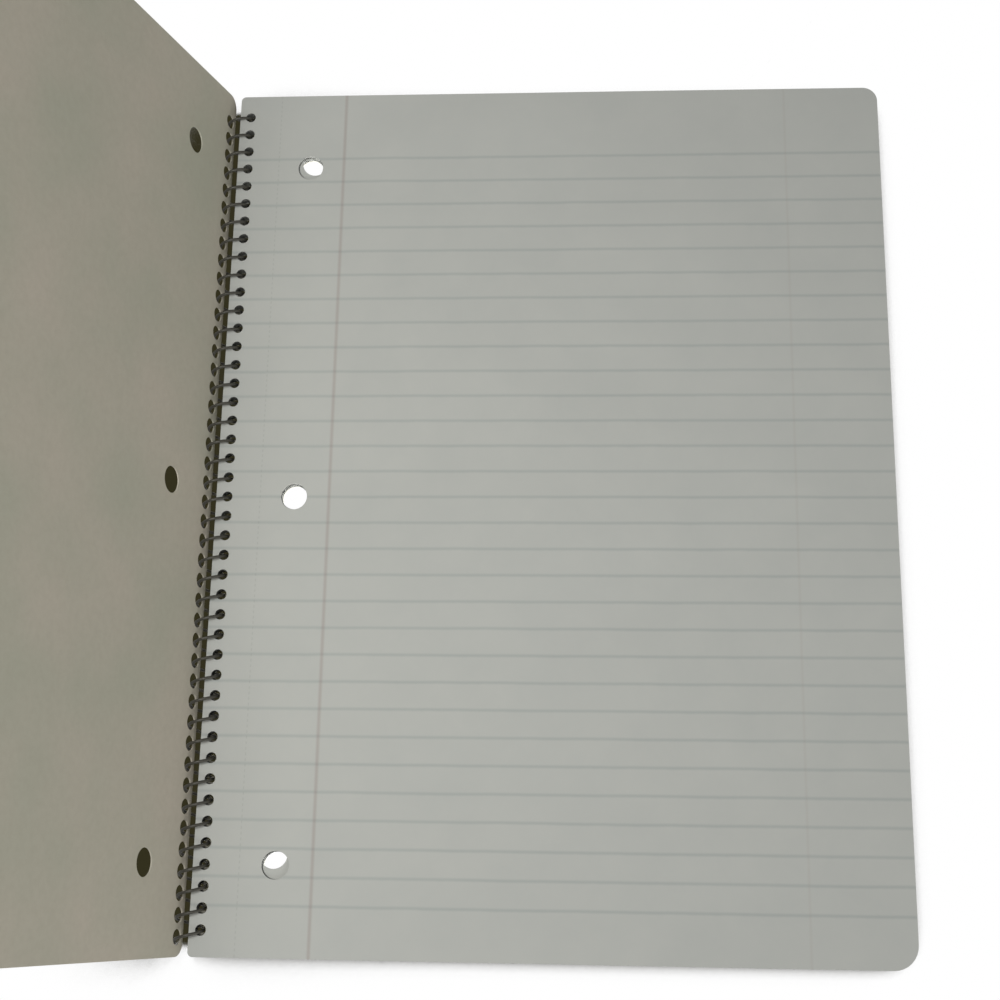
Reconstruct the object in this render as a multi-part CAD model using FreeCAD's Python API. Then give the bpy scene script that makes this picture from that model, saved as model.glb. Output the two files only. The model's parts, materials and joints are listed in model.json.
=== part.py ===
import FreeCAD, Part
import math
import os

# An open spiral notebook: a block of ruled sheets, a front cover raised on the wire,
# a back cover under the sheets, and one steel wire wound through all their edge holes.
# Millimetres. X runs across the page away from the spine, Y up the page, Z up.
# The origin is the middle binder hole's centre on the underside of the back cover.

# Sheets
sheet_width = 203.2
sheet_height = 266.7
sheet_count = 40
sheet_thickness = 0.085
head_corner_radius = 4.5
foot_corner_radius = 7.0
sheet_spine_radius = 1.5

# Covers
front_card_thickness = 0.4
back_board_thickness = 0.6
cover_spine_radius = 4.0
cover_clearance = 0.05
front_cover_opening = 105.0
full_opening = 180.0
back_hinge_inset = 0.12

# Wire coil
coil_pitch = 6.0
wire_diameter = 0.9
coil_room = 1.85
wire_head_gap = 14.0
wire_foot_gap = 42.0
wire_tip_reach = 0.7
runs_per_turn = 12
wire_sides = 6

# Holes for the wire
coil_hole_edge = 3.4
back_hole_edge = 3.0
coil_hole_end = 7.35
page_hole_play = 1.5
cover_hole_play = 0.6
coil_hole_flats = 12

# Holes for a ring binder
binder_hole_diameter = 7.9375
binder_hole_spacing = 107.95
binder_hole_count = 3
binder_hole_edge = 23.8

# Heights in the closed book, from the underside of the back cover
pad_bottom = back_board_thickness + cover_clearance
pad_top = pad_bottom + sheet_count * sheet_thickness
front_bottom = pad_top + cover_clearance
front_top = front_bottom + front_card_thickness

# The coil's axis runs along the spine at half the closed book's thickness
axis_z = front_top / 2
coil_radius = front_top / 2 + coil_room
front_offset = front_bottom + front_card_thickness / 2 - axis_z
back_offset = back_board_thickness / 2 - axis_z

# The back cover turns about a line under its own spine edge, so that it opens to lie
# just below the open front cover
back_hinge_z = -cover_clearance / 2
open_back_offset = 2 * back_hinge_z - back_board_thickness / 2 - axis_z


def reach(offset):
    """How far from the axis the wire crosses a flat leaf that lies this much above the axis."""
    return math.sqrt(coil_radius ** 2 - offset ** 2)


def crossing(offset):
    """The coil's angle in degrees where it crosses that leaf."""
    return math.degrees(math.asin(offset / coil_radius))


# Columns of holes beside the spine
spine_x = -binder_hole_edge
coil_hole_x = spine_x + coil_hole_edge
back_hole_x = spine_x + back_hole_edge
axis_x = coil_hole_x - (reach(front_offset) + reach(back_offset)) / 2
coil_hole_count = math.floor((sheet_height - 2 * coil_hole_end) / coil_pitch + 1e-6) + 1
first_hole_y = (coil_hole_count - 1) * coil_pitch / 2

# The coil's angle where each leaf crosses it: the pad's faces, then each cover closed and
# fully open. The front cover turns about the coil's axis, the back cover about its own line.
pad_crossings = [crossing(z - axis_z) for z in (pad_bottom, pad_top)]
front_crossings = [crossing(front_offset), crossing(front_offset) + full_opening]
back_crossings = [crossing(back_offset), -180 - crossing(open_back_offset)]

# The wire runs down the spine by one pitch for each turn, so each row of holes is round
# the middle of the wire's way through its leaf, and the covers' holes are wide enough for it
drop_per_degree = coil_pitch / 360
wire_start_y = first_hole_y + drop_per_degree * sum(pad_crossings) / 2
front_hole_y = wire_start_y - drop_per_degree * sum(front_crossings) / 2
back_hole_y = wire_start_y - drop_per_degree * sum(back_crossings) / 2
page_hole_diameter = (wire_diameter + page_hole_play
                      + drop_per_degree * (pad_crossings[1] - pad_crossings[0]))
cover_hole_diameter = wire_diameter + cover_hole_play + drop_per_degree * full_opening


def corner(x, y, radius, toward_x, toward_y):
    """A quarter-round corner at x, y, as the arc's first, middle and last point."""
    centre = FreeCAD.Vector(x + toward_x * radius, y + toward_y * radius, 0)
    slant = radius * math.sqrt(0.5)
    beside = centre - FreeCAD.Vector(toward_x * radius, 0, 0)
    middle = centre - FreeCAD.Vector(toward_x * slant, toward_y * slant, 0)
    along = centre - FreeCAD.Vector(0, toward_y * radius, 0)
    return beside, middle, along


def leaf_outline(spine_radius):
    """The outline of a sheet or cover, anticlockwise, with its rounded corners."""
    left, right = spine_x, spine_x + sheet_width
    foot, head = -sheet_height / 2, sheet_height / 2
    corners = [
        corner(left, foot, spine_radius, 1, 1),
        corner(right, foot, foot_corner_radius, -1, 1)[::-1],
        corner(right, head, head_corner_radius, -1, -1),
        corner(left, head, spine_radius, 1, -1)[::-1],
    ]
    edges = []
    for here, after in zip(corners, corners[1:] + corners[:1]):
        edges.append(Part.Arc(*here).toShape())
        edges.append(Part.LineSegment(here[2], after[0]).toShape())
    return Part.Wire(edges)


def coil_hole(x, y, diameter):
    """One hole for the wire, round to within its flats."""
    step = 2 * math.pi / coil_hole_flats
    corner_radius = diameter / 2 / math.cos(step / 2)
    points = []
    for i in range(coil_hole_flats + 1):
        angle = (i + 0.5) * step
        points.append(FreeCAD.Vector(x + corner_radius * math.cos(angle),
                                     y + corner_radius * math.sin(angle), 0))
    return Part.makePolygon(points)


def binder_hole(index):
    """One of the round holes in line for a binder's rings."""
    y = (index - (binder_hole_count - 1) / 2) * binder_hole_spacing
    circle = Part.makeCircle(binder_hole_diameter / 2, FreeCAD.Vector(0, y, 0))
    return Part.Wire([circle])


def leaf(bottom, thickness, spine_radius, hole_x, first_y, hole_diameter):
    """A flat sheet, pad or cover with its row of coil holes and its binder holes."""
    wires = [leaf_outline(spine_radius)]
    for i in range(coil_hole_count):
        wires.append(coil_hole(hole_x, first_y - i * coil_pitch, hole_diameter))
    for i in range(binder_hole_count):
        wires.append(binder_hole(i))
    face = Part.makeFace(wires, "Part::FaceMakerBullseye")
    face.translate(FreeCAD.Vector(0, 0, bottom))
    return face.extrude(FreeCAD.Vector(0, 0, thickness))


def page_block():
    """All the ruled sheets, as one pad."""
    return leaf(pad_bottom, pad_top - pad_bottom, sheet_spine_radius, coil_hole_x,
                first_hole_y, page_hole_diameter)


def front_cover():
    """The front cover, turned about the coil's axis from closed to where it stands open."""
    cover = leaf(front_bottom, front_card_thickness, cover_spine_radius, coil_hole_x,
                 front_hole_y, cover_hole_diameter)
    cover.rotate(FreeCAD.Vector(axis_x, 0, axis_z), FreeCAD.Vector(0, -1, 0),
                 front_cover_opening)
    return cover


def back_cover():
    """The stiffer back cover, flat under the sheets."""
    return leaf(0, back_board_thickness, cover_spine_radius, back_hole_x, back_hole_y,
                cover_hole_diameter)


def wire_section(angle, shift):
    """The wire's section at one angle of the coil, square to the radius and the axis."""
    turn = math.radians(angle)
    outward = FreeCAD.Vector(math.cos(turn), 0, math.sin(turn))
    along = FreeCAD.Vector(0, 1, 0)
    centre = FreeCAD.Vector(axis_x, wire_start_y - drop_per_degree * angle + shift, axis_z)
    centre += outward * coil_radius
    points = []
    for i in range(wire_sides + 1):
        around = 2 * math.pi * i / wire_sides
        points.append(centre + outward * (wire_diameter / 2 * math.cos(around))
                      + along * (wire_diameter / 2 * math.sin(around)))
    return Part.makePolygon(points)


def wire_coil():
    """The wire, wound right-handed through every hole, with both tips bent along the spine.

    Both ends stop short of where the fully open front cover crosses the coil.
    """
    start = front_crossings[1] - 360 + wire_head_gap
    end = 360 * (coil_hole_count - 1) + front_crossings[1] - wire_foot_gap
    runs = round((end - start) / 360 * runs_per_turn)
    sections = []
    for i in range(runs + 1):
        shift = 0
        if i == 0:
            shift = wire_tip_reach
        if i == runs:
            shift = -wire_tip_reach
        sections.append(wire_section(start + (end - start) * i / runs, shift))
    return Part.makeLoft(sections, True, True)


def main():
    os.makedirs("parts", exist_ok=True)
    nodes = {
        "page_block": page_block(),
        "front_cover": front_cover(),
        "back_cover": back_cover(),
        "wire_coil": wire_coil(),
    }
    for name, shape in nodes.items():
        shape.exportStep(os.path.join("parts", name + ".step"))
        print(name, shape.isValid(), len(shape.Solids), round(shape.Volume, 1))
    print("front hinge x", round(axis_x, 6), "z", round(axis_z, 6))
    print("back hinge x", round(spine_x + back_hinge_inset, 6), "z", round(back_hinge_z, 6))
    print("coil radius", round(coil_radius, 3), "crossings", front_crossings, back_crossings)
    print("coil holes", coil_hole_count, "page", round(page_hole_diameter, 2),
          "cover", round(cover_hole_diameter, 2))


main()
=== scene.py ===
# %% [markdown]
# # An open spiral notebook
# This file dresses a finished model of a notebook: a pad of ruled sheets, a card cover
# that stands up on its wire, a board under the pad, and one wire that holds them.
# The model already says where each piece is and how it turns. Blender adds what the eye
# needs: round wire, round holes, loose sheets, print, card and light.

# %% Load the model as a fixed frame
import bpy
import bmesh
import json
import math
import random
from mathutils import Matrix, Vector, noise


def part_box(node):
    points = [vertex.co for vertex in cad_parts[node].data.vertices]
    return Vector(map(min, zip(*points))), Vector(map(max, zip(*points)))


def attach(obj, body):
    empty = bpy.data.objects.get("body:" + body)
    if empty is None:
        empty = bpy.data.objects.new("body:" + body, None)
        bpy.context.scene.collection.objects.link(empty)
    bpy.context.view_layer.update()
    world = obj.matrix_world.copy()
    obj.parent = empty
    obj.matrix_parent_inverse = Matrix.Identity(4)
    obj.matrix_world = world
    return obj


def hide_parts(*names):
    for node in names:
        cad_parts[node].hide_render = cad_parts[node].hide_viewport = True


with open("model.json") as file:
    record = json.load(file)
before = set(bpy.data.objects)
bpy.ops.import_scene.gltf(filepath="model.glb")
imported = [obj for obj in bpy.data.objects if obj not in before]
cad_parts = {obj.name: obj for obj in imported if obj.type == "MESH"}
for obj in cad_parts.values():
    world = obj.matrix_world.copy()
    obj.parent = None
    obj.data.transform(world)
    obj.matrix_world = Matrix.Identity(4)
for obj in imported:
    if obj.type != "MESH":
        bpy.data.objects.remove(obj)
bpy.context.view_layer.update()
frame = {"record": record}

# %% [markdown]
# ## Sizes
# Blender works in metres and paper in millimetres, so one factor turns a named size into
# Blender's unit. Whatever the model knows is asked from it: the sheets' edges, the
# thickness of each piece, and the line about which the front cover turns.

# %% Sizes that come from the model
MM = 0.001
pad_low, pad_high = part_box("page_block")
board_low, board_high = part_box("back_cover")
joints = {joint["name"]: joint for joint in frame["record"]["behaviour"]["joints"]}
front_hinge = joints["front_cover_hinge"]
coil_axis = Vector(front_hinge["pos_m"])
front_opening = -math.radians(front_hinge["range_deg"][0])
sheet_width = pad_high.x - pad_low.x
sheet_height = pad_high.y - pad_low.y
spine_x = pad_low.x
print("sheet", round(sheet_width / MM, 1), "x", round(sheet_height / MM, 1), "mm,",
      "cover open by", round(math.degrees(front_opening), 1), "degrees")

# %% [markdown]
# ## The wire and its holes
# The wire is a helix, so it moves down the spine by one pitch in each turn. Each row of
# holes sits where the wire passes through its leaf, and that depends on the leaf's height.
# A cover passes the wire at other angles of the coil as it swings: over half a turn for
# the front cover, and over 112 degrees for the board under the pad. Its row is at the
# middle of that way, and its holes are wide enough for both ends of it.

# %% Sizes of the wire and its holes
coil_pitch = 6.0 * MM
coil_radius = 4.1 * MM
wire_diameter = 0.9 * MM
coil_holes = 43
drop = coil_pitch / math.tau
hole_x = spine_x + 3.4 * MM
back_hole_x = spine_x + 3.0 * MM
page_hole = 3.2 * MM
cover_hole = 4.5 * MM
binder_hole = 7.9375 * MM
binder_spacing = 107.95 * MM
card_thickness = 0.4 * MM
head_corner = 4.5 * MM
foot_corner = 7.0 * MM
sheet_spine_corner = 1.5 * MM
cover_spine_corner = 4.0 * MM
front_swing = math.pi
back_swing = math.radians(112.2)


def crossing(height):
    """The coil's angle where it crosses a flat leaf that lies this much above its axis."""
    return math.asin(height / coil_radius)


gap = pad_low.z - board_high.z
front_bottom = pad_high.z + gap
front_cross = crossing(front_bottom + card_thickness / 2 - coil_axis.z)
back_cross = crossing((board_low.z + board_high.z) / 2 - coil_axis.z)
pad_cross = (crossing(pad_low.z - coil_axis.z) + crossing(pad_high.z - coil_axis.z)) / 2
first_hole_y = (coil_holes - 1) * coil_pitch / 2
wire_start_y = first_hole_y + drop * pad_cross
front_hole_y = wire_start_y - drop * (front_cross + front_swing / 2)
back_hole_y = wire_start_y - drop * (back_cross - back_swing / 2)
print("first hole at y", round(first_hole_y / MM, 1), "mm, front cover's row",
      round((front_hole_y - first_hole_y) / MM, 2), "mm from the sheets' row")

# %% [markdown]
# ## Materials
# A material here starts from what the real thing is. Colours are written as sRGB hex,
# as a colour picker shows them, and one function turns them to the linear numbers that
# Blender mixes. One more function adds a node with its settings and links, so that a node
# tree reads as a list of steps.

# %% Colour and node helpers
def srgb(code):
    """A hex colour as Blender's linear red, green, blue and alpha."""
    parts = [int(code[i:i + 2], 16) / 255 for i in (1, 3, 5)]
    return [v / 12.92 if v <= 0.04045 else ((v + 0.055) / 1.055) ** 2.4 for v in parts] + [1.0]


def set_inputs(owner, node, **inputs):
    """Gives a node its inputs, each a plain value, a socket, or a node's first output.

    In a name an underscore stands for a space, and _0 is the input with that number.
    """
    for name, value in inputs.items():
        key = int(name[1:]) if name[0] == "_" else name.replace("_", " ")
        if isinstance(value, bpy.types.Node):
            value = value.outputs[0]
        if isinstance(value, bpy.types.NodeSocket):
            owner.node_tree.links.new(value, node.inputs[key])
        else:
            node.inputs[key].default_value = value


def add_node(owner, kind, settings=None, **inputs):
    """Adds one node to a material or a world, with its properties and inputs."""
    node = owner.node_tree.nodes.new(kind)
    for name, value in (settings or {}).items():
        setattr(node, name, value)
    set_inputs(owner, node, **inputs)
    return node


def new_material(name, **surface):
    """A material with one Principled surface, which is returned beside it."""
    material = bpy.data.materials.new(name)
    material.use_nodes = True
    shader = material.node_tree.nodes["Principled BSDF"]
    set_inputs(material, shader, **surface)
    return material, shader


def per_mm(size_mm):
    """The scale of a pattern in Object coordinates whose cells are this many millimetres."""
    return 1 / (size_mm * MM)


print("white as linear numbers", srgb("#ffffff"))

# %% [markdown]
# ## Print, and the perforation's painted shade
# The print is part of the paper's material: thirty pale blue lines 7.94 mm apart, a red
# margin line, and the next page's margin line, which shows faintly through the sheet.
# Beside them, a dotted line of painted shade stands where the perforation's slits are.
# Each line is a distance turned into ink: how far is this point from the line, and is
# that less than half the line's width? The blue lines need only one such question,
# because the nearest of the thirty is found by rounding.

# %% The ruling's real sizes
line_pitch = 7.9375 * MM
first_line = 22.3 * MM
line_count = 30
line_width = 0.8 * MM
line_sway = 0.5 * MM
margin_x = spine_x + 34.4 * MM
margin_width = 0.9 * MM
through_x = pad_high.x - 29.2 * MM
through_width = 0.6 * MM
perforation_x = spine_x + 13.4 * MM
perforation_pitch = 1.6 * MM
slit_width = 0.24 * MM
slit_blur = 0.3 * MM
dash_blur = 0.4 * MM
ink_blur = 0.8 * MM
print("ruling ends", round((first_line + (line_count - 1) * line_pitch) / MM, 1), "mm down")

# %% Ink as a function of distance
def stripe(material, value, centre, width, blur):
    """1 where the value is within half the width of the centre, falling softly to 0."""
    away = add_node(material, "ShaderNodeMath", {"operation": "SUBTRACT"}, _0=value, _1=centre)
    away = add_node(material, "ShaderNodeMath", {"operation": "ABSOLUTE"}, _0=away)
    return add_node(material, "ShaderNodeMapRange", {"interpolation_type": "SMOOTHSTEP"},
                    Value=away, From_Min=(width - blur) / 2, From_Max=(width + blur) / 2,
                    To_Min=1.0, To_Max=0.0)


def ink(material, under, colour, strength, where):
    """The colour under it with ink laid over it, as strong as this where the mask is 1."""
    amount = add_node(material, "ShaderNodeMath", {"operation": "MULTIPLY"},
                      _0=where, _1=strength)
    mix = add_node(material, "ShaderNodeMix", {"data_type": "RGBA"},
                   _0=amount, _6=under, _7=srgb(colour))
    return mix.outputs[2]


def nearest_line(material, y, cloud):
    """How many line pitches a point is below the first line, and the nearest line's number."""
    start = (pad_high.y - first_line + line_sway / 2) / line_pitch
    down = add_node(material, "ShaderNodeMath", {"operation": "MULTIPLY_ADD"},
                    _0=y, _1=-1 / line_pitch, _2=start)
    down = add_node(material, "ShaderNodeMath", {"operation": "MULTIPLY_ADD"},
                    _0=cloud, _1=-line_sway / line_pitch, _2=down)
    whole = add_node(material, "ShaderNodeMath", {"operation": "ROUND"}, _0=down)
    number = add_node(material, "ShaderNodeClamp", Value=whole, Min=0.0, Max=line_count - 1.0)
    return down, number


def ruling(material, place, cloud, colour):
    """Lines and margins over the paper's colour, with painted shade in the perforation's slits.
    """
    axes = add_node(material, "ShaderNodeSeparateXYZ", Vector=place)
    x, y = axes.outputs["X"], axes.outputs["Y"]
    down, number = nearest_line(material, y, cloud)
    lines = stripe(material, down, number, line_width / line_pitch, ink_blur / line_pitch)
    colour = ink(material, colour, "#7f8b8a", 0.28, lines)
    margin = stripe(material, x, margin_x, margin_width, ink_blur)
    colour = ink(material, colour, "#8a716a", 0.30, margin)
    through = stripe(material, x, through_x, through_width, ink_blur)
    colour = ink(material, colour, "#9a8a80", 0.12, through)
    # Painted shade: grey dashes along the perforation's line, where its slits are.
    row = stripe(material, x, perforation_x, slit_width, slit_blur)
    step = add_node(material, "ShaderNodeMath", {"operation": "PINGPONG"},
                    _0=y, _1=perforation_pitch / 2)
    dash = stripe(material, step, 0.0, perforation_pitch / 2, dash_blur)
    slit_shade = add_node(material, "ShaderNodeMath", {"operation": "MULTIPLY"}, _0=row, _1=dash)
    return ink(material, colour, "#5c5c56", 0.18, slit_shade)

# %% [markdown]
# ## Writing paper
# Uncoated woodfree paper is matt, IOR about 1.5, with a slight cloudiness where its
# fibres lie thicker. A slow swell as bump adds to the top sheet's own waves: light from
# the side shows how a loose sheet bows, even where it hardly lifts.

# %% The paper
cloud_mm = 14.0
fibre_mm = 0.5
swell_mm = 55.0


def paper(name, ruled):
    """Writing paper, with the print on it or without."""
    material, shader = new_material(name, Roughness=0.85, IOR=1.5, Specular_IOR_Level=0.25)
    place = add_node(material, "ShaderNodeTexCoord").outputs["Object"]
    cloud = add_node(material, "ShaderNodeTexNoise", Vector=place, Scale=per_mm(cloud_mm),
                     Detail=3.0, Roughness=0.6)
    fibre = add_node(material, "ShaderNodeTexNoise", Vector=place, Scale=per_mm(fibre_mm),
                     Detail=2.0)
    swell = add_node(material, "ShaderNodeTexNoise", Vector=place, Scale=per_mm(swell_mm),
                     Detail=1.0)
    colour = ink(material, srgb("#b9bab4"), "#b1b3ae", 1.0, cloud)
    if ruled:
        colour = ruling(material, place, cloud, colour)
    wave = add_node(material, "ShaderNodeBump", Strength=1.0, Distance=2.5 * MM, Height=swell)
    bump = add_node(material, "ShaderNodeBump", Strength=0.12, Distance=0.05 * MM, Height=fibre,
                    Normal=wave)
    set_inputs(material, shader, Base_Color=colour, Normal=bump)
    return material


ruled_paper = paper("ruled_writing_paper", True)
plain_paper = paper("writing_paper_edges", False)
print("papers:", ruled_paper.name, "and", plain_paper.name)

# %% [markdown]
# ## Card and board
# The inside of the cover is bare grey-beige card, pressed from pulp: matt, a little
# darker in soft clouds, with a fine mottle. The outside and the board under the pad are
# the same kind of stock. Noise at three real sizes does it: clouds of centimetres and
# mottle of millimetres as colour, and grit of a third of a millimetre as bump.

# %% Pressed card
card_cloud_mm = 38.0
mottle_mm = 2.2
grit_mm = 0.35


def card(name, light, dark, speck):
    """Pressed card that drifts from a light to a dark colour, mottled with a third."""
    material, shader = new_material(name, Roughness=0.8, IOR=1.5, Specular_IOR_Level=0.3)
    place = add_node(material, "ShaderNodeTexCoord").outputs["Object"]
    cloud = add_node(material, "ShaderNodeTexNoise", Vector=place, Scale=per_mm(card_cloud_mm),
                     Detail=2.0)
    mottle = add_node(material, "ShaderNodeTexNoise", Vector=place, Scale=per_mm(mottle_mm),
                      Detail=3.0, Roughness=0.65)
    grit = add_node(material, "ShaderNodeTexNoise", Vector=place, Scale=per_mm(grit_mm),
                    Detail=1.0)
    spread = add_node(material, "ShaderNodeMapRange", Value=cloud, From_Min=0.3, From_Max=0.7)
    patch = add_node(material, "ShaderNodeMapRange", Value=mottle, From_Min=0.35, From_Max=0.75)
    colour = ink(material, srgb(light), dark, 1.0, spread)
    colour = ink(material, colour, speck, 0.25, patch)
    bump = add_node(material, "ShaderNodeBump", Strength=0.2, Distance=0.06 * MM, Height=grit)
    set_inputs(material, shader, Base_Color=colour, Normal=bump)
    return material


cover_card = card("grey_beige_card", "#bfb7a8", "#b2b1a0", "#a49d8c")
back_board = card("grey_pulp_board", "#b3afa3", "#a8a597", "#949082")
print("cards:", cover_card.name, "and", back_board.name)

# %% [markdown]
# ## Wire painted dark
# The wire is drawn steel, and its dark grey-brown colour is painted shade, for a bright
# steel wire that mostly mirrors dark surroundings. So it is dark where it turns away and
# grey along its crest. It gets a low metallic value and a middling roughness, with fine
# marks from drawing and winding as bump.

# %% The wire's finish
wire_marks_mm = 0.25


def wire_painted_dark():
    """Steel with painted shade for its colour, worn a little smoother in places."""
    # Painted shade: a dark grey-brown base colour for steel that would look bright on its own.
    material, shader = new_material("steel_wire_painted_dark", Base_Color=srgb("#4a4841"),
                                    Metallic=0.4)
    place = add_node(material, "ShaderNodeTexCoord").outputs["Object"]
    marks = add_node(material, "ShaderNodeTexNoise", Vector=place, Scale=per_mm(wire_marks_mm),
                     Detail=2.0)
    wear = add_node(material, "ShaderNodeMapRange", Value=marks, To_Min=0.34, To_Max=0.52)
    bump = add_node(material, "ShaderNodeBump", Strength=0.15, Distance=0.02 * MM, Height=marks)
    set_inputs(material, shader, Roughness=wear, Normal=bump)
    return material


wire_finish = wire_painted_dark()
print("wire:", wire_finish.name)

# %% [markdown]
# ## A leaf
# Every sheet and cover is the same thing: a rectangle with four rounded corners, a row of
# small holes and three large ones. It could be cut with booleans, but a flat shape is
# easier to draw as edges and fill: a square's corners are bevelled, circles are added, and
# one fill closes the surface between them. Extruding that gives a leaf its thickness.

# %% Draw a leaf as a flat surface
binder_rows = [-binder_spacing, 0.0, binder_spacing]
in_line = [(0.0, 0.0)] * len(binder_rows)
corner_segments = 8
small_hole_sides = 20
large_hole_sides = 48


def flat_leaf(height, spine_corner, column_x, first_y, small_hole, shifts=in_line, inset=0.0):
    """A bmesh with one flat leaf at this height, its holes left open."""
    bm = bmesh.new()
    middle = Vector(((pad_low.x + pad_high.x) / 2, 0, height))
    size = Matrix.Diagonal((sheet_width / 2 - inset, sheet_height / 2 - inset, 1, 1))
    bmesh.ops.create_grid(bm, x_segments=1, y_segments=1, size=1.0,
                          matrix=Matrix.Translation(middle) @ size)
    for vertex in bm.verts[:]:
        if vertex.co.x < middle.x:
            radius = spine_corner
        elif vertex.co.y > 0:
            radius = head_corner
        else:
            radius = foot_corner
        bmesh.ops.bevel(bm, geom=[vertex], offset=radius, offset_type="OFFSET",
                        segments=corner_segments, profile=0.5, affect="VERTICES", material=-1)
    bmesh.ops.delete(bm, geom=bm.faces[:], context="FACES_ONLY")
    for i in range(coil_holes):
        place = Matrix.Translation((column_x, first_y - i * coil_pitch, height))
        bmesh.ops.create_circle(bm, segments=small_hole_sides, radius=small_hole / 2,
                                matrix=place)
    for y, (shift_x, shift_y) in zip(binder_rows, shifts):
        place = Matrix.Translation((shift_x, y + shift_y, height))
        bmesh.ops.create_circle(bm, segments=large_hole_sides, radius=binder_hole / 2,
                                matrix=place)
    bmesh.ops.triangle_fill(bm, edges=bm.edges[:], use_beauty=True, normal=(0, 0, 1))
    return bm

# %% Give it a thickness and a place in the scene
def extrude(bm, faces, step, keep=False):
    """Extrudes faces by a step and returns the new ones, with the old kept where asked."""
    up = bmesh.ops.extrude_face_region(bm, geom=faces, use_keep_orig=keep)
    raised = [item for item in up["geom"] if isinstance(item, bmesh.types.BMVert)]
    bmesh.ops.translate(bm, verts=raised, vec=step)
    return [item for item in up["geom"] if isinstance(item, bmesh.types.BMFace)]


def thicken(bm, thickness):
    """Extrudes the flat surface upwards into a closed leaf."""
    extrude(bm, bm.faces[:], Vector((0, 0, thickness)), keep=True)
    bmesh.ops.recalc_face_normals(bm, faces=bm.faces[:])


def place_piece(bm, name, body, node, material):
    """Writes the bmesh to a new object that stands for a node of the model."""
    mesh = bpy.data.meshes.new(name)
    bm.to_mesh(mesh)
    bm.free()
    piece = bpy.data.objects.new(name, mesh)
    bpy.context.scene.collection.objects.link(piece)
    mesh.materials.append(material)
    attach(piece, body)
    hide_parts(node)
    triangles = sum(len(face.vertices) - 2 for face in mesh.polygons)
    print(name, len(mesh.vertices), "vertices,", triangles, "triangles")
    return piece

# %% [markdown]
# ## The stack of sheets
# Forty loose sheets never lie exactly on each other. For each sheet of the stack the top
# face is extruded by nothing and pushed aside a little, then extruded up by the sheet's
# thickness, so that every edge of the stack steps in and out as real ones do. The stack
# is made in two parts, with room between them for one sheet that lies out of line, and
# room above them for the top sheet.

# %% Build the stack, sheet by sheet
random.seed(7)
sheet_thickness = 0.085 * MM
top_room = 3
upper_sheets = 9
shifted_sheets = 1
all_sheets = round((pad_high.z - pad_low.z) / sheet_thickness)
lower_sheets = all_sheets - upper_sheets - shifted_sheets - top_room
slip = 0.12 * MM


def sheet_stack(height, count):
    """A block of loose sheets from this height up."""
    bm = flat_leaf(height, sheet_spine_corner, hole_x, first_hole_y, page_hole, inset=slip)
    faces = bm.faces[:]
    aside = Vector((0, 0, 0))
    for i in range(count):
        target = Vector((random.uniform(-slip, slip), random.uniform(-slip, slip), 0))
        faces = extrude(bm, faces, target - aside, keep=i == 0)
        faces = extrude(bm, faces, Vector((0, 0, sheet_thickness)))
        aside = target
    bmesh.ops.recalc_face_normals(bm, faces=bm.faces[:])
    return bm


shifted_z = pad_low.z + lower_sheets * sheet_thickness
upper_z = shifted_z + shifted_sheets * sheet_thickness
place_piece(sheet_stack(pad_low.z, lower_sheets), "lower_sheets", "pages", "page_block",
            plain_paper)
place_piece(sheet_stack(upper_z, upper_sheets), "upper_sheets", "pages", "page_block",
            plain_paper)

# %% [markdown]
# ## The sheet that lies out of line
# Through the upper and lower binder holes of the top sheet a paper edge shows: the holes
# of a sheet below it aren't in line with the rest. That is one more leaf between the
# two parts of the stack, with its own small shifts of those two holes.

# %% A sheet with shifted binder holes
shifted_holes = [(-0.8 * MM, 3.0 * MM), (0.0, 0.0), (1.3 * MM, 1.8 * MM)]


def shifted_sheet():
    """One sheet whose foot and head binder holes are out of line."""
    bm = flat_leaf(shifted_z, sheet_spine_corner, hole_x, first_hole_y, page_hole, shifted_holes)
    thicken(bm, sheet_thickness)
    return bm


place_piece(shifted_sheet(), "shifted_sheet", "pages", "page_block", plain_paper)

# %% [markdown]
# ## The top sheet
# The top sheet is what most of the picture shows, and paper that lies free is never
# flat. It is cut by a grid of planes to give it points inside its outline, and
# those are lifted by slow noise, most at the free edges and not at all along the wire.
# It stays under the height of the model's pad, so that the closed cover doesn't cut it.

# %% Cut, lift and thicken the top sheet
wave_height = (top_room - 1) * sheet_thickness
wave_length = 70.0 * MM
mean_wave = 0.5
held_width = 40.0 * MM
cut_spacing = 9.0 * MM
on_plane = 1e-7
crease_angle = math.radians(40)


def clamped(value):
    """The value, kept from 0 to 1."""
    return min(1.0, max(0.0, value))


def cut_in_squares(bm):
    """Cuts the leaf across and along, into squares about as wide as the spacing."""
    for axis, low, high in ((0, pad_low.x, pad_high.x), (1, pad_low.y, pad_high.y)):
        count = int((high - low) / cut_spacing)
        for i in range(1, count):
            point, normal = Vector((0, 0, 0)), Vector((0, 0, 0))
            point[axis] = low + (high - low) * i / count
            normal[axis] = 1
            bmesh.ops.bisect_plane(bm, geom=bm.verts[:] + bm.edges[:] + bm.faces[:],
                                   dist=on_plane, plane_co=point, plane_no=normal)


def top_sheet():
    """The sheet on top, slightly waved where the wire doesn't hold it."""
    height = pad_high.z - sheet_thickness - wave_height
    bm = flat_leaf(height, sheet_spine_corner, hole_x, first_hole_y, page_hole)
    cut_in_squares(bm)
    for vertex in bm.verts:
        freedom = clamped((vertex.co.x - hole_x) / held_width)
        wave = mean_wave + noise.noise(Vector((vertex.co.x, vertex.co.y, 0)) / wave_length)
        vertex.co.z += freedom * wave_height * clamped(wave)
    thicken(bm, sheet_thickness)
    return bm


top = place_piece(top_sheet(), "top_sheet", "pages", "page_block", ruled_paper)
top.data.shade_smooth()
top.data.set_sharp_from_angle(angle=crease_angle)

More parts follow.
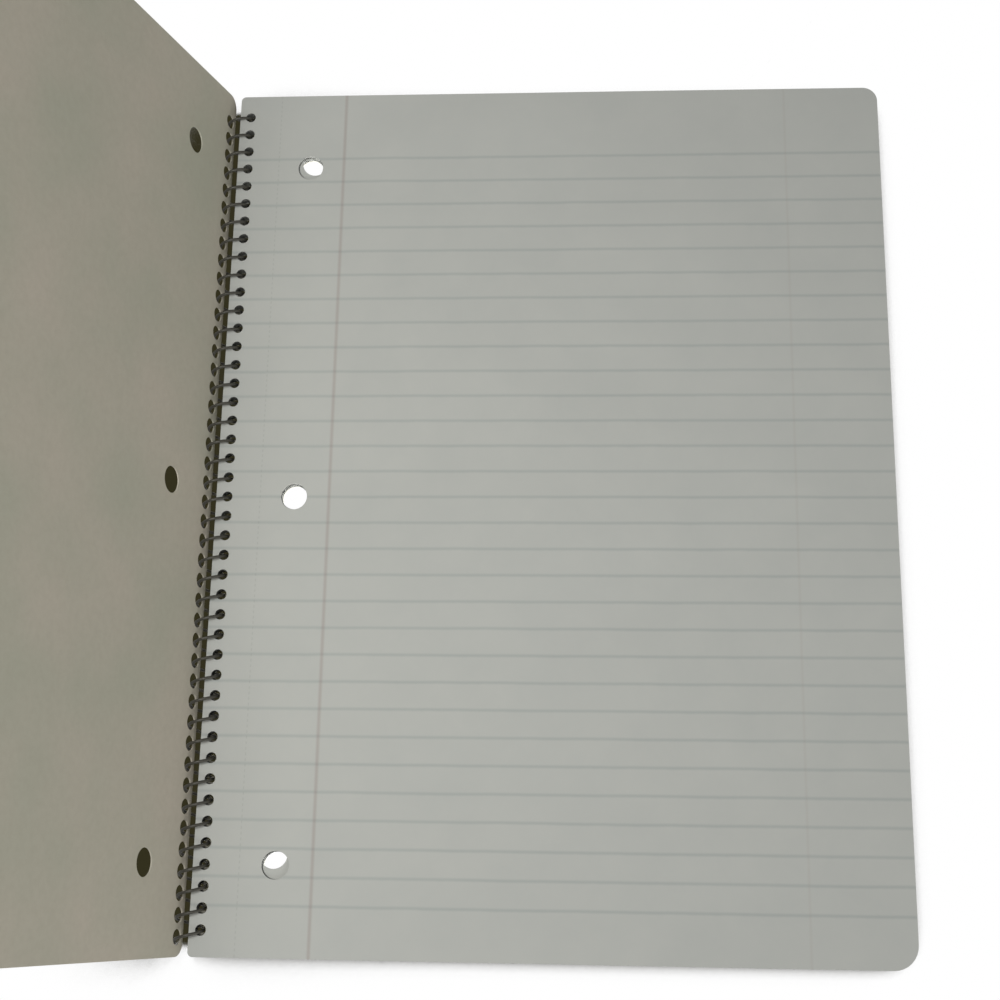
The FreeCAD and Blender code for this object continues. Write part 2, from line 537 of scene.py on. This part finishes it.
# %% [markdown]
# ## The covers
# Both covers are leaves too. The front one is drawn closed on the pad, where its
# measurements are simple, and then turned about the coil by the angle that the model
# gives. A very small bevel takes the sharpness off the card's cut edges.

# %% Front cover and back board
edge_softness = 0.06 * MM
edge_segments = 2
cut_edge_angle = math.radians(60)


def soften(piece):
    """Rounds the cut edges a little."""
    bevel = piece.modifiers.new("cut_edges", "BEVEL")
    bevel.width = edge_softness
    bevel.segments = edge_segments
    bevel.limit_method = "ANGLE"
    bevel.angle_limit = cut_edge_angle


def front_cover():
    """The thin card, drawn closed and turned open."""
    bm = flat_leaf(front_bottom, cover_spine_corner, hole_x, front_hole_y, cover_hole)
    thicken(bm, card_thickness)
    bmesh.ops.rotate(bm, verts=bm.verts[:], cent=coil_axis,
                     matrix=Matrix.Rotation(-front_opening, 3, "Y"))
    return bm


def back_cover():
    """The board under the pad."""
    bm = flat_leaf(board_low.z, cover_spine_corner, back_hole_x, back_hole_y, cover_hole)
    thicken(bm, board_high.z - board_low.z)
    return bm


soften(place_piece(front_cover(), "front_cover_card", "front", "front_cover",
                   cover_card))
soften(place_piece(back_cover(), "back_cover_board", "back", "back_cover",
                   back_board))

# %% [markdown]
# ## The wire
# A coil is what spin was made for: a circle is swept round an axis, and with a small
# step along the axis for each turn the ring becomes a helix. The wire's tips are the first
# and last points of the sweep, pushed along the spine, as the binder's tool bends them.
# Both ends stop short of where the fully open front cover crosses the coil.

# %% Sweep the wire
wire_sides = 12
steps_per_turn = 32
head_gap = math.radians(14)
foot_gap = math.radians(42)
tip_reach = 0.7 * MM
wire_low_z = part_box("wire_coil")[0].z
wound_radius = coil_axis.z - wire_low_z - wire_diameter / 2


def wire_coil():
    """The whole wire in one sweep, closed at both tips."""
    open_cross = front_cross + front_swing
    start = open_cross - math.tau + head_gap
    end = open_cross + math.tau * (coil_holes - 1) - foot_gap
    steps = round((end - start) / math.tau * steps_per_turn)
    bm = bmesh.new()
    section = Matrix.Rotation(-start, 4, "Y") @ Matrix.Translation((wound_radius, 0, 0))
    place = Matrix.Translation((coil_axis.x, wire_start_y - drop * start, coil_axis.z))
    ring = bmesh.ops.create_circle(bm, segments=wire_sides, radius=wire_diameter / 2,
                                   matrix=place @ section)
    swept = bmesh.ops.spin(bm, geom=ring["verts"] + bm.edges[:], cent=coil_axis,
                           axis=(0, -1, 0), dvec=(0, -drop * (end - start) / steps, 0),
                           angle=end - start, steps=steps, use_merge=False)
    last = [item for item in swept["geom_last"] if isinstance(item, bmesh.types.BMVert)]
    for tip, way in ((ring["verts"], 1), (last, -1)):
        bmesh.ops.translate(bm, verts=tip, vec=(0, way * tip_reach, 0))
    bmesh.ops.holes_fill(bm, edges=[edge for edge in bm.edges if edge.is_boundary], sides=0)
    bmesh.ops.recalc_face_normals(bm, faces=bm.faces[:])
    return bm


wire = place_piece(wire_coil(), "wire_coil_round", "pages", "wire_coil", wire_finish)
wire.data.shade_smooth()

# %% [markdown]
# ## Where the floor has painted shadow
# The notebook lies on a plain white sweep. Between the raised cover and the pad, and behind
# the cover's holes, the floor has little sky, and its colour is painted dark there as shadow.
# An Ambient Occlusion node asks how much of the sky a point of the floor sees, and a ramp
# turns that into dark or white. Two masks keep the dark where the eye expects it. Close to
# the pad's own edges a second, short look at the sky gives back what the pad takes, away
# from the coil. And the floor under the pad, which shows through its three binder holes,
# is always white.

# %% Masks from places on the floor
pad_inset = 8.0 * MM
cover_reach = 0.1
edge_reach = 0.012
edge_share = 0.45
dark_sky, white_sky = 0.66, 0.82


def under_pad(material, axes):
    """1 under the pad, well inside its edges."""
    across = add_node(material, "ShaderNodeMath", {"operation": "COMPARE"}, _0=axes.outputs["X"],
                      _1=(pad_low.x + pad_high.x) / 2, _2=sheet_width / 2 - pad_inset)
    along = add_node(material, "ShaderNodeMath", {"operation": "COMPARE"}, _0=axes.outputs["Y"],
                     _1=0.0, _2=sheet_height / 2 - pad_inset)
    return add_node(material, "ShaderNodeMath", {"operation": "MULTIPLY"}, _0=across, _1=along)


def away_from_coil(material, axes):
    """1 to the right of the coil's holes and past the spine's two ends."""
    beside = add_node(material, "ShaderNodeMapRange", Value=axes.outputs["X"],
                      From_Min=spine_x + 2 * MM, From_Max=spine_x + 14 * MM)
    along = add_node(material, "ShaderNodeMath", {"operation": "ABSOLUTE"}, _0=axes.outputs["Y"])
    beyond = add_node(material, "ShaderNodeMapRange", Value=along,
                      From_Min=pad_high.y - 4 * MM, From_Max=pad_high.y - 2 * MM)
    return add_node(material, "ShaderNodeMath", {"operation": "MAXIMUM"}, _0=beside, _1=beyond)


def open_sky(material, axes):
    """0 where the raised cover hides most of the sky, 1 where the floor is open."""
    sky = add_node(material, "ShaderNodeAmbientOcclusion", {"samples": 40}, Distance=cover_reach)
    near = add_node(material, "ShaderNodeAmbientOcclusion", {"samples": 16}, Distance=edge_reach)
    taken = add_node(material, "ShaderNodeMath", {"operation": "SUBTRACT"},
                     _0=1.0, _1=near.outputs["AO"])
    taken = add_node(material, "ShaderNodeMath", {"operation": "MULTIPLY"},
                     _0=taken, _1=away_from_coil(material, axes))
    total = add_node(material, "ShaderNodeMath", {"operation": "MULTIPLY_ADD"},
                     _0=taken, _1=edge_share, _2=sky.outputs["AO"])
    return add_node(material, "ShaderNodeMapRange", {"interpolation_type": "SMOOTHSTEP"},
                    Value=total, From_Min=dark_sky, From_Max=white_sky)


print("white under the pad from", round(pad_inset / MM, 1), "mm inside its edges")

# %% [markdown]
# ## The floor
# The camera sees the floor as a glow of strength 1, exactly white where the sky is open
# and a painted shadow where it is not. Every other ray meets a matt pale floor instead,
# so that the floor lights the book only as paper on a table would. Under the pad those
# rays meet a stronger glow, painted light from no lamp: it comes up through the binder
# holes and shows the paper edges inside them.

# %% The floor's material
# Painted light: under the pad the floor glows this strongly for every ray but the camera's, and
# lights the binder holes' walls.
hole_glow = 6.0


def white_floor():
    """White for the camera, matt for the light, with painted shadow where there is little sky.
    """
    material = bpy.data.materials.new("white_sweep")
    material.use_nodes = True
    nodes = material.node_tree.nodes
    nodes.remove(nodes["Principled BSDF"])
    place = add_node(material, "ShaderNodeTexCoord").outputs["Object"]
    axes = add_node(material, "ShaderNodeSeparateXYZ", Vector=place)
    covered = under_pad(material, axes)
    bright = add_node(material, "ShaderNodeMath", {"operation": "MAXIMUM"},
                      _0=open_sky(material, axes), _1=covered)
    # Painted shadow: the camera's glow turns from white to dark brown where little sky is open.
    shade = ink(material, srgb("#33301f"), "#ffffff", 1.0, bright)
    camera_ray = add_node(material, "ShaderNodeLightPath").outputs["Is Camera Ray"]
    # Painted light: strength 1 for the camera, the hidden glow for all other rays.
    power = add_node(material, "ShaderNodeMapRange", Value=camera_ray, To_Min=hole_glow,
                     To_Max=1.0)
    glow = add_node(material, "ShaderNodeEmission", Color=shade, Strength=power)
    matt = add_node(material, "ShaderNodeBsdfDiffuse", Color=srgb("#e6e6e4"))
    shown = add_node(material, "ShaderNodeMath", {"operation": "MAXIMUM"},
                     _0=camera_ray, _1=covered)
    mix = add_node(material, "ShaderNodeMixShader", _0=shown, _1=matt, _2=glow)
    set_inputs(material, nodes["Material Output"], Surface=mix)
    return material

# %% Lay the floor under the wire
floor_size = 6.0
bm = bmesh.new()
bmesh.ops.create_grid(bm, x_segments=1, y_segments=1, size=floor_size / 2,
                      matrix=Matrix.Translation((0, 0, wire_low_z)))
floor_mesh = bpy.data.meshes.new("floor")
bm.to_mesh(floor_mesh)
bm.free()
floor_mesh.materials.append(white_floor())
floor = bpy.data.objects.new("floor", floor_mesh)
bpy.context.scene.collection.objects.link(floor)
print("floor at", round(wire_low_z / MM, 2), "mm, the wire's lowest point")

# %% [markdown]
# ## Light
# A weak white world fills the shadows, and the camera sees it as pure white. A small key
# lamp hangs almost in the raised cover's own plane, so that it lights the page and only
# grazes the card. A wide lamp from the right and the foot lights the card's inner face and
# gives the page its slow fall from the spine to the free edge.

# %% World and lamps
fill_strength = 0.3
world = bpy.data.worlds.new("studio")
bpy.context.scene.world = world
world.use_nodes = True
camera_ray = add_node(world, "ShaderNodeLightPath").outputs["Is Camera Ray"]
fill = add_node(world, "ShaderNodeMapRange", Value=camera_ray, To_Min=fill_strength, To_Max=1.0)
set_inputs(world, world.node_tree.nodes["Background"], Color=srgb("#ffffff"), Strength=fill)


def soft_lamp(name, place, aim, size, watts):
    """A square area lamp that points at a place on the book."""
    lamp = bpy.data.lights.new(name, "AREA")
    lamp.size = size
    lamp.energy = watts
    thing = bpy.data.objects.new(name, lamp)
    bpy.context.scene.collection.objects.link(thing)
    thing.location = place
    thing.rotation_euler = (Vector(aim) - Vector(place)).to_track_quat("-Z", "Y").to_euler()
    thing.visible_camera = False
    print(name, "lamp,", size, "m wide,", watts, "watts")


soft_lamp("key", place=(-0.115, -0.04, 0.45), aim=(0.1, 0.0, 0.0), size=0.12, watts=1.3)
soft_lamp("side", place=(0.9, -0.9, 0.5), aim=(0.0, 0.0, 0.05), size=0.8, watts=5.1)

# %% [markdown]
# ## Camera
# The camera stands where the picture was taken from: almost above the pad, a little
# towards the foot of the page. Its three axes were found by fitting the
# sheet's corners, lines and holes to the picture, and the small shift puts the lens's
# centre where the fit had it.

# %% Place the camera
camera_place = Vector((93.36, -113.74, 468.34)) * MM
camera_right = Vector((0.9979, 0.0163, -0.0628)).normalized()
camera_back = Vector((0.0649, -0.2596, 0.9635)).normalized()
camera_up = camera_back.cross(camera_right).normalized()
sensor_mm = 36.0
focal_pixels = 1600
picture_pixels = 1000
centre_row = 460
lens = bpy.data.cameras.new("camera")
lens.sensor_width = sensor_mm
lens.lens = sensor_mm * focal_pixels / picture_pixels
lens.shift_y = (centre_row - picture_pixels / 2) / picture_pixels
camera = bpy.data.objects.new("camera", lens)
bpy.context.scene.collection.objects.link(camera)
turn = Matrix((camera_right, camera_up, camera_back)).transposed()
camera.matrix_world = Matrix.Translation(camera_place) @ turn.to_4x4()
bpy.context.scene.camera = camera
print("lens", round(lens.lens, 1), "mm, shift", lens.shift_y)

# %% [markdown]
# ## Finish
# The view transform is Standard, so that a colour comes out as it was written.

# %% Set the view transform
bpy.context.scene.view_settings.view_transform = "Standard"
